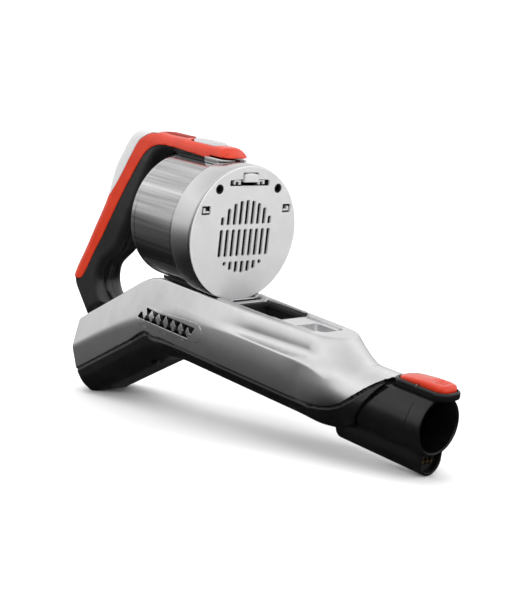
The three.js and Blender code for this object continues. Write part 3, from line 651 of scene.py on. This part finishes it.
def rocker(p):
    """The red rocker: a low hump with a finger dimple and three bars towards the mouth, and its hook."""
    x, y, z = p.T
    crown = np.interp(x, CROWN_X, CROWN_Z) - 0.010 * y * y
    dimple = np.sqrt(((x - 220) / 7.6) ** 2 + (y / 6.2) ** 2) - 1
    crown = crown - 0.9 * np.clip(-dimple, 0, 0.55) / 0.55
    under = -65.4 + 0.02 * (x - 187.5)
    f = plan_rect(p, 187.0, 230.3, 9.8, 7.0, -70, -50, 0.5)
    f = smax(smax(f, (z - crown) * 0.95, 1.7), under - z, 0.4)
    for k in range(3):
        bar = np.hypot(x - 217.6 - 2.6 * k, (z - crown) * 1.1) - 0.5
        f = smin(f, smax(bar, np.abs(y) - 3.6, 0.4), 0.4)
    hook = smax(round_box(p, (189, -3, -72.4), (194, 3, -64), 0.6), -(z + 72.9) - (x - 190.5) * 0.75, 0.3)
    return carve(smin(f, hook, 0.4), pin_hole(p), 0.2)


made("nozzle", nozzle, (118, -26, -130), (234, 26, -61), 0.85, "black_gloss", "nozzle_tube")
made("wand_release", rocker, (186, -10.2, -73.4), (231, 10.2, -57), 0.5, "red_gloss", "wand_release_button",
     body="wand_release")


# ---- motor pod ----
LATHE_STEPS, LATHE_SHARP = 144, 28


def lathe(name, profile, slot, *nodes, look=None):
    """A closed profile of (x, radius) points turned about the pod's axis."""
    steps = LATHE_STEPS
    turn = np.arange(steps) * 2 * math.pi / steps
    prof = np.array(profile, float)
    n = len(prof)
    verts = np.stack([np.repeat(prof[None, :, 0], steps, 0), prof[None, :, 1] * np.cos(turn)[:, None],
                      prof[None, :, 1] * np.sin(turn)[:, None]], -1).reshape(-1, 3)
    i, j = np.meshgrid(np.arange(steps), np.arange(n), indexing="ij")
    a, b = (i * n + j).ravel(), (i * n + (j + 1) % n).ravel()
    c, d = (((i + 1) % steps) * n + (j + 1) % n).ravel(), (((i + 1) % steps) * n + j).ravel()
    obj = new_object(name, verts, np.stack([a, b, c, d], 1), LOOKS[look or slot], LATHE_SHARP)
    tidy = bmesh.new()
    tidy.from_mesh(obj.data)
    bmesh.ops.remove_doubles(tidy, verts=tidy.verts, dist=1e-7)
    bmesh.ops.recalc_face_normals(tidy, faces=tidy.faces)
    tidy.to_mesh(obj.data)
    tidy.free()
    settle(obj, "main", nodes, slot)


def arc(cx, cr, r, start, end, steps=5):
    """Points of a round corner in a lathe profile, angles in degrees from +x towards +radius."""
    return [(cx + r * math.cos(math.radians(a)), cr + r * math.sin(math.radians(a)))
            for a in np.linspace(start, end, steps)]


def housing_profile():
    """The housing's wall, with a fine turned groove near each end."""
    outer = [(-84.9, HOUSING_R - 0.6)] + arc(-83.6, HOUSING_R - 1.3, 1.3, 165, 90)
    groove = ((-0.5, 0), (-0.15, 0.35), (0.15, 0.35), (0.5, 0))  # along from its middle, and depth
    for middle in (-79.5, -30.2):
        outer += [(middle + along, HOUSING_R - sunk) for along, sunk in groove]
    outer += arc(RING_REAR - 0.9, HOUSING_R - 0.5, 0.5, 90, 0, 3)
    return outer + [(RING_REAR - 0.4, 51.5), (-82.2, 51.5), (-82.2, 50.8), (-84.9, 50.8)]


RING_PROFILE = (arc(RING_REAR + 1.2, RING_R - 1.2, 1.2, 180, 90) + arc(-4.4, RING_R - 1.6, 1.6, 80, 20, 4)
                + [(-2.5, RING_R - 1.8), (-2.5, 53.2), (RING_REAR, 53.0)])
CAP_PROFILE = ([(-91.6, 0.0), (-91.6, 30), (-91.2, 34)] + arc(-84.5, 42.8, 7.2, 165, 105, 6)
               + [(-83.2, 50.0), (-83.2, 47.8), (-86, 47.2), (-88.6, 42), (-89.6, 33), (-89.6, 0.0)])
lathe("pod_housing", housing_profile(), "grey_gloss", "motor_housing")
lathe("pod_ring", RING_PROFILE, "pale_plastic", "front_ring", look="ring")
lathe("pod_back", CAP_PROFILE, "grey_gloss", "pod_rear_cap", look="ring")

SLOT_PITCH = 6.3
GRILLE_ROWS = ((-33, -22.3), (-18.2, 4.3), (8, 31.5))
GRILLE_Z, GRILLE_R, SLOT_HALF = -2, 30.2, 1.85


def slot_rows(p):
    """The grille: rows of upright slots with round ends, kept inside a circle."""
    y, z = p[:, 1], p[:, 2]
    k = np.clip(np.round(y / SLOT_PITCH), -4, 4)
    across = np.abs(y - k * SLOT_PITCH) - SLOT_HALF
    reach = np.sqrt(np.maximum(GRILLE_R ** 2 - (k * SLOT_PITCH) ** 2, 1))
    best = np.full(len(p), 1e3)
    for low, high in GRILLE_ROWS:
        z0, z1 = np.maximum(low, GRILLE_Z - reach), np.minimum(high, GRILLE_Z + reach)
        along = np.maximum(z0 - z, z - z1)
        best = np.minimum(best, np.where(z1 - z0 > 3, smax(across, along, 1.6), 1e3))
    return best


def plate(p):
    """The pod's face: a disc with a rim behind it, screw wells, the grille, notches and the latch slot."""
    x, y, z = p.T
    ay = np.abs(y)
    r = np.hypot(y, z)
    f = smax(r - FACE_R + 0.15, np.maximum(x, -2 - x), 1.0)
    f = smin(f, smax(smax(r - 52.7, 50.9 - r, 0.3), np.maximum(-6 - x, x + 1), 0.3), 0.4)
    well = np.hypot(ay - WELL_Y, z - WELL_Z)
    f = smin(f, smax(well - 5.6, np.maximum(-13 - x, x + 1), 0.3), 0.6)
    f = carve(f, smax(well - 3.9, -11 - x, 0.3), 0.7)
    f = carve(f, smax(well - 1.7, -14 - x, 0.3), 0.2)
    f = carve(f, slot_rows(p), 0.3)
    notch = smax(ay - 47.6, 38.8 - ay, 0.6)
    f = carve(f, smax(notch, np.abs(z - 20.5) - 3.5, 0.8), 0.5)
    gap = smax(smax(7.8 - ay, ay - 21, 0.8), np.maximum(39.8 - z, z - 45.6 + 0.05 * ay), 0.8)
    f = carve(f, gap, 0.5)
    mouth = smax(ay - 8, np.maximum(40 - z, z - 50.6), 0.8)
    return carve(f, mouth, 0.4)


def mirrored(side, *boxes):
    """A few rounded blocks (low corner, high corner) on one side of the face, joined."""
    def field(p):
        q = p * np.array([1, side, 1])
        best = round_box(q, *boxes[0], 0.45)
        for low, high in boxes[1:]:
            best = smin(best, round_box(q, low, high, 0.45), 0.3)
        return best
    return field


def well_lining(side):
    """The dark cup that lines a screw well."""
    def field(p):
        r = np.hypot(p[:, 1] - side * WELL_Y, p[:, 2] - WELL_Z)
        return smax(np.abs(r - 3.35) - 0.45, np.abs(p[:, 0] + 5.5) - 5.1, 0.3)
    return field


def tongue(p):
    """The bin latch's curved tongue."""
    x, y, z = p.T
    f = smax(np.maximum(np.abs(y) - 7.1, 43 - z), z - 50.2 + 0.02 * y * y, 1.6)
    return smax(f, np.maximum(-5 - x, x - 2.1 + 0.03 * np.maximum(z - 46, 0) ** 2), 1.1)


made("pod_face", plate, (-13.2, -56.2, -56.2), (0.1, 56.2, 56.2), 0.72, "pale_plastic", "face_plate")
# what lies in the face's cut-outs on one side: slot, then blocks by their low and high corners
FACE_BLOCKS = {
    "notch_back": ("black_plain", [((-4.8, 37.4, 15.6), (-3.6, 48.8, 25.4))]),
    "side_hook": ("pale_plastic", [((-3.5, 39.6, 18.4), (-0.7, 45.4, 19.9)),
                                   ((-3.5, 43.7, 18.4), (-0.5, 45.6, 22.4))]),
    "guide_back": ("black_plain", [((-4.8, 7.6, 38.2), (-3.6, 21.8, 47))]),
    "latch_guide": ("pale_plastic", [((-3.5, 9.4, 40.6), (-0.9, 11.2, 44.6)),
                                     ((-3.5, 9.4, 43.0), (-1.4, 14.9, 44.6)),
                                     ((-3.5, 14.6, 40.8), (-1.0, 16.4, 44.6))]),
}
for side, word in SIDES:
    for name, (slot, blocks) in FACE_BLOCKS.items():
        corners = (np.array(blocks) * np.array([1, side, 1])).reshape(-1, 3)
        low, high = corners.min(0) - 0.3, corners.max(0) + 0.3
        made(name + "_" + word, mirrored(side, *blocks), low, high, 0.4, slot)
    at = WELL_Y * side
    made("well_" + word, well_lining(side), (-11, at - 4, WELL_Z - 4), (-0.2, at + 4, WELL_Z + 4), 0.4,
         "black_plain")
made("latch_tongue", tongue, (-5.2, -7.4, 42.8), (2.3, 7.4, 50.4), 0.4, "pale_plastic", "bin_latch_tongue",
     body="bin_latch")


def saddle(p):
    """The dark pad between the pod and its cradle: the saddle the pod sits on, its black also painted shade
    filling the gap between them.
    """
    r = np.hypot(p[:, 1], p[:, 2])
    f = smax(smax(r - CRADLE_R + 0.3, HOUSING_R + 0.3 - r, 0.3), np.abs(p[:, 0] + 54) - 24, 0.6)
    return smax(smax(f, np.abs(p[:, 1]) - 19, 0.8), p[:, 2] + 40, 0.3)


# the pad is a real support, and its black also stands in as painted shade for the gap round the pod
made("pod_cradle_pad", saddle, (-79, -20, -59), (-29, 20, -39), 0.9, "black_plain", "pod_saddle")

# ---- handle ----
HANDLE_BACK = [(-17.8, 58), (-18.6, 62.6), (-22.6, 65.6), (-30, 66.8), (-50, 67.3), (-76, 67.4),
               (-100, 67.2), (-124, 67.9), (-139, 67.2), (-149, 63.6), (-157, 55), (-165, 42),
               (-172.5, 29), (-177, 15), (-184, -5), (-198.5, -31.5), (-212, -57), (-222.5, -75),
               (-226.8, -86), (-224, -96), (-216, -105), (-198, -123.5)]
HANDLE_FRONT = [(-150, -95), (-163, -96.5), (-172, -92.5), (-178, -86), (-180, -77.5), (-177, -68),
                (-168, -59.5), (-158.5, -51), (-151, -40), (-141, -21), (-130, 0), (-120.5, 21),
                (-112.5, 37), (-106, 45), (-98, 49), (-88, 50)]
HANDLE_UNDER = [(-80, 46), (-18, 46)]
TRIM_EDGE = [(-30, 56.2), (-44.6, 56.4), (-60, 57), (-88, 58), (-104, 57.5), (-115, 54.5), (-124, 49),
             (-131, 41), (-146, 19), (-158.5, -1), (-178, -33), (-191.5, -55), (-203, -76),
             (-209.5, -84.6), (-216, -87), (-240, -88)]
SPINE_EDGE = [(-112.5, 90), (-113.5, 68), (-122, 65.3), (-130, 61), (-138, 54.5), (-149.5, 36.5),
              (-160, 20), (-172, 4), (-182, -3), (-200, -8)]


def region(step, *lines):
    """An outline made of smooth lines (lists of points) and straight corners (arrays)."""
    parts = [line if isinstance(line, np.ndarray) else spline(line, 5, closed=False) for line in lines]
    return Outline(np.vstack(parts), step=step)


HANDLE = region(0.7, HANDLE_BACK, HANDLE_FRONT, np.array(HANDLE_UNDER))
TRIM = region(0.7, TRIM_EDGE, np.array([(-260, -88), (-260, 90), (-30, 90)]))
SPINE = region(0.7, SPINE_EDGE, np.array([(-260, -8), (-260, 90)]))
TIP_LINE = Outline([(-44.2, 46), (-44.2, 58.6), (-40.2, 61.5), (-34.6, 90), (0, 90), (0, 46)], step=0.5)
ARM_HALF, SKIN = 15.0, 2.5  # half the handle's width, and the thickness of its band and cover
BUTTON_SLOT, RIB_SLOT = (-73, -36, 8.6, 4), (-111.2, -78.8, 6.3, 1)  # ends, half width, corner radius


def handle_form(p):
    """The handle: its outline in the middle plane, with full round shoulders and a waist on the leg."""
    x, y, z = p.T
    waist = 1.7 * np.exp(-((x + 168) / 22) ** 2 - ((z + 52) / 24) ** 2)
    half = ARM_HALF - waist - 0.035 * np.clip(z - 40, 0, 26)
    return smax(HANDLE(p), np.abs(y) - half, 11.0)


def pod_room(p):
    """The room that the motor pod takes, with a small gap round it."""
    r = np.hypot(p[:, 1], p[:, 2])
    step = np.where(p[:, 0] > RING_REAR - 0.3, RING_R, HOUSING_R)
    return smax(r - step - 0.3, -94 - p[:, 0], 0.3)


def seated(f, p):
    """Cut clear of the motor pod and the wing's deck."""
    s, depth = p @ WING_U, p @ WING_N
    deck = np.where(s < DECK_END + 0.3, DECK_TOP - depth, -1.4 - depth)
    return smax(carve(f, pod_room(p), 0.6), -deck, 0.5)


def core(side):
    """One half of the handle's dark core."""
    def field(p):
        x, y, z = p.T
        form = handle_form(p)
        edge = TRIM(p)
        # flush with the red band along its edge but for a fine groove, and sunk beneath it
        groove = 0.55 * np.exp(-(np.minimum(edge - 0.9, 0) / 0.8) ** 2) * (edge > -3)
        outer = smax(form + groove, 0.2 - edge, 0.3)
        under = smax(form + 2.9, edge - 6, 0.3)
        f = smin(outer, under, 0.3)
        f = smax(f, x + 44.3, 0.4)
        # hollow from the leg down, and behind the pod
        inner = smax(form + 5.5, HOUSING_R + 2.6 - np.hypot(y, z) - 1e3 * (x < -92), 0.3)
        f = carve(f, smax(inner, -96 - z, 0.5), 0.3)
        f = carve(f, plan_rect(p, *BUTTON_SLOT, 58, 90), 0.3)
        f = carve(f, plan_rect(p, *RIB_SLOT, 64.6, 90), 0.3)
        # four short grooves across the foot
        for k in range(4):
            rib = (x + 206 + 1.0 * k) * 0.5 - (z + 101 - 4.2 * k) * 0.86
            band = smax(np.abs(rib) - 0.8, np.abs(x * 0.86 + z * 0.5 + 232) - 10, 0.4)
            f = carve(f, smax(smax(band, -form - 1.0, 0.3), np.abs(y) - 10, 0.4), 0.4)
        f = seated(f, p)
        return smax(f, 0.15 - y * side, 0.2)
    return field


def red_band(p):
    """The red band over the grip and down the leg, open for the start button and the ribbed strip."""
    f = smax(hollow(handle_form(p), SKIN), TRIM(p), 0.7)
    f = smax(f, 0.25 - SPINE(p), 0.5)
    f = smax(f, p[:, 0] + 36.4 + 0.9 * np.clip(60.5 - p[:, 2], -3, 8), 0.4)
    f = carve(f, plan_rect(p, *BUTTON_SLOT, 60, 90), 0.9)
    return seated(carve(f, plan_rect(p, *RIB_SLOT, 60, 90), 0.6), p)


def back_cover(p):
    """The pale cover over the handle's rear corner."""
    return smax(hollow(handle_form(p), SKIN), SPINE(p), 0.8)


def ribbed_strip(p):
    """The strip of cross ribs on the grip."""
    f = round_box(p, (-110.8, -5.9, 64.9), (-79.2, 5.9, 67.0), 0.5)
    for k in range(9):
        x = -108.2 + 3.3 * k
        rib = smax(np.hypot(p[:, 0] - x, (p[:, 2] - 66.9) * 0.9) - 1.15, np.abs(p[:, 1]) - 5.2, 0.8)
        f = smin(f, rib, 0.5)
    return f


def oval_button(p):
    """The start button: an oval with a crowned top and a low brow."""
    x, y, z = p.T
    ends = np.hypot(np.maximum(np.abs(x + 54.8) - 9.9, 0), y) - 8.2
    crown = 68.7 - 0.012 * y * y - 0.0016 * (x + 54.8) ** 2 + 0.3 * np.exp(-((x + 46) / 5) ** 2)
    return smax(smax(ends, z - crown, 2.2), 63.4 - z, 0.4)


def tip(p):
    """The red release button at the grip's front, with a bevelled brow."""
    x, y, z = p.T
    brow = (x + 25) * 0.62 + (z - 65.6) * 0.78 + 0.012 * y * y
    f = smax(smax(handle_form(p), brow, 0.8), 58.9 - z, 0.8)
    f = smax(f, TIP_LINE(p) + 0.12, 0.4)
    f = carve(f, round_box(p, (-34, -10.5, 50), (-21.6, 10.5, 61.6), 0.5), 0.3)
    return carve(f, plan_rect(p, -73, -36.2, 8.8, 4, 50, 90), 0.4)


def tip_base(p):
    """The silver piece under the red tip."""
    f = smax(smax(handle_form(p), p[:, 2] - 57.6, 0.9), -43.6 - p[:, 0], 0.3)
    return seated(f, p)


for side, word in SIDES:
    y0, y1 = (-15.6, 0.2) if side < 0 else (-0.2, 15.6)
    made("grip_core_" + word, core(side), (-228, y0, -126), (-17, y1, 69), 1.05, "black_gloss",
         "handle_core_" + word, look="grip")
made("grip_band", red_band, (-228, -15.6, -92), (-33, 15.6, 69), 0.95, "red_gloss", "handle_trim")
made("grip_back", back_cover, (-190, -15.6, -12), (-110, 15.6, 70), 0.9, "pale_plastic", "spine_cover")
made("grip_ribs", ribbed_strip, (-111, -6.2, 64.6), (-79, 6.2, 68.4), 0.45, "dark_red", "thumb_grip")
made("start_button", oval_button, (-74, -8.8, 63), (-36, 8.8, 69.4), 0.55, "silver_shell", "power_button",
     body="power_button")
made("release_tip", tip, (-46, -15.4, 55), (-17, 15.4, 68.5), 0.5, "red_gloss", "bin_release_button",
     body="bin_release_button")
made("release_base", tip_base, (-45, -15.4, 45), (-17, 15.4, 59), 0.55, "silver_shell", "release_trim")

# ---- stage ----
VIEW = Vector((-0.7345, 0.6664, -0.1282)).normalized()  # from the camera towards the object
VIEW_ROLL, CAMERA_PLACE, LENS = math.radians(0.70), (0.7257, -0.6279, 0.2286), 70.1
FLOOR_HALF, BEND_START, BEND_R = 14.0, 1.2, 0.8  # metres
# name: place, aim, size, power
LIGHTS = {
    "top_softbox": ((-0.1, 0.1, 1.5), (0, 0, 0.1), (1.7, 1.5), 15),
    "key_softbox": ((0.75, -1.5, 1.25), (0, 0, 0.1), (0.8, 0.6), 5),
    "front_softbox": ((1.7, 0.3, 0.8), (0, 0, 0.12), (0.8, 0.9), 4),
    "sweep_light": ((-0.3, 0.3, 1.9), (-1.6, 1.45, 0.9), (1.5, 0.6), 22),
}
# The room: level by height, bright from the horizon up, dark below it, as over a dark table edge.
ROOM = ((0.26, 0.02), (0.38, 0.10), (0.46, 0.20), (0.57, 0.80), (0.80, 1.1), (1.0, 0.8))


def emitter(name, place, aim, size, power):
    """A rectangular lamp that lights the object without showing in its gloss."""
    light = bpy.data.lights.new(name, "AREA")
    light.shape, light.size, light.size_y = "RECTANGLE", *size
    light.energy = power
    obj = bpy.data.objects.new(name, light)
    bpy.context.scene.collection.objects.link(obj)
    obj.location = place
    obj.rotation_euler = (Vector(aim) - Vector(place)).to_track_quat("-Z", "Y").to_euler()
    obj.visible_glossy = False


def pale_floor():
    """A floor that sweeps up behind the object in one curve."""
    rise = [(d, 0.0) for d in (-FLOOR_HALF, -1.0, 0.0, BEND_START)]
    rise += [(BEND_START + BEND_R * math.sin(a), BEND_R - BEND_R * math.cos(a))
             for a in np.linspace(0.1, math.pi / 2, 10)]
    rise.append((BEND_START + BEND_R, 3.5))
    back = Vector((VIEW.x, VIEW.y, 0)).normalized()
    across = Vector((back.y, -back.x, 0))
    mesh = bpy.data.meshes.new("floor_sweep")
    verts = [back * d + across * w + Vector((0, 0, h)) for d, h in rise for w in (-FLOOR_HALF, FLOOR_HALF)]
    faces = [(2 * i, 2 * i + 1, 2 * i + 3, 2 * i + 2) for i in range(len(rise) - 1)]
    mesh.from_pydata(verts, [], faces)
    mesh.polygons.foreach_set("use_smooth", [True] * len(faces))
    obj = bpy.data.objects.new("floor_sweep", mesh)
    bpy.context.scene.collection.objects.link(obj)
    mesh.materials.append(finish("floor_paint", (0.9, 0.9, 0.9), (0.93, 0.93, 0.93), 0.8, scale=3))
    obj.visible_glossy = False


pale_floor()
for name, settings in LIGHTS.items():
    emitter(name, *settings)

world = bpy.data.worlds.new("studio")
bpy.context.scene.world = world
world.use_nodes = True
wn, wl = world.node_tree.nodes, world.node_tree.links
sky_place, sky_split = wn.new("ShaderNodeTexCoord"), wn.new("ShaderNodeSeparateXYZ")
sky_height, sky_ramp = wn.new("ShaderNodeMapRange"), wn.new("ShaderNodeValToRGB")
sky_height.inputs["From Min"].default_value = -1
wl.new(sky_place.outputs["Generated"], sky_split.inputs["Vector"])
wl.new(sky_split.outputs["Z"], sky_height.inputs["Value"])
wl.new(sky_height.outputs["Result"], sky_ramp.inputs["Fac"])
stops = sky_ramp.color_ramp.elements
while len(stops) < len(ROOM):
    stops.new(0.5)
for stop, (position, level) in zip(stops, ROOM):
    stop.position, stop.color = position, (level, level, level, 1)
wl.new(sky_ramp.outputs["Color"], wn["Background"].inputs["Color"])
wn["Background"].inputs["Strength"].default_value = 1.0

camera = bpy.data.cameras.new("photo_camera")
camera.sensor_width, camera.sensor_fit, camera.lens = 36, "AUTO", LENS
camera_object = bpy.data.objects.new("photo_camera", camera)
bpy.context.scene.collection.objects.link(camera_object)
right = VIEW.cross(Vector((0, 0, 1))).normalized()
up = right.cross(VIEW)
cos, sin = math.cos(VIEW_ROLL), math.sin(VIEW_ROLL)
right, up = right * cos + up * sin, up * cos - right * sin
turned = Matrix((right, up, -VIEW)).transposed().to_4x4()
camera_object.matrix_world = Matrix.Translation(CAMERA_PLACE) @ turned
bpy.context.scene.camera = camera_object
bpy.context.scene.view_settings.view_transform = "Standard"
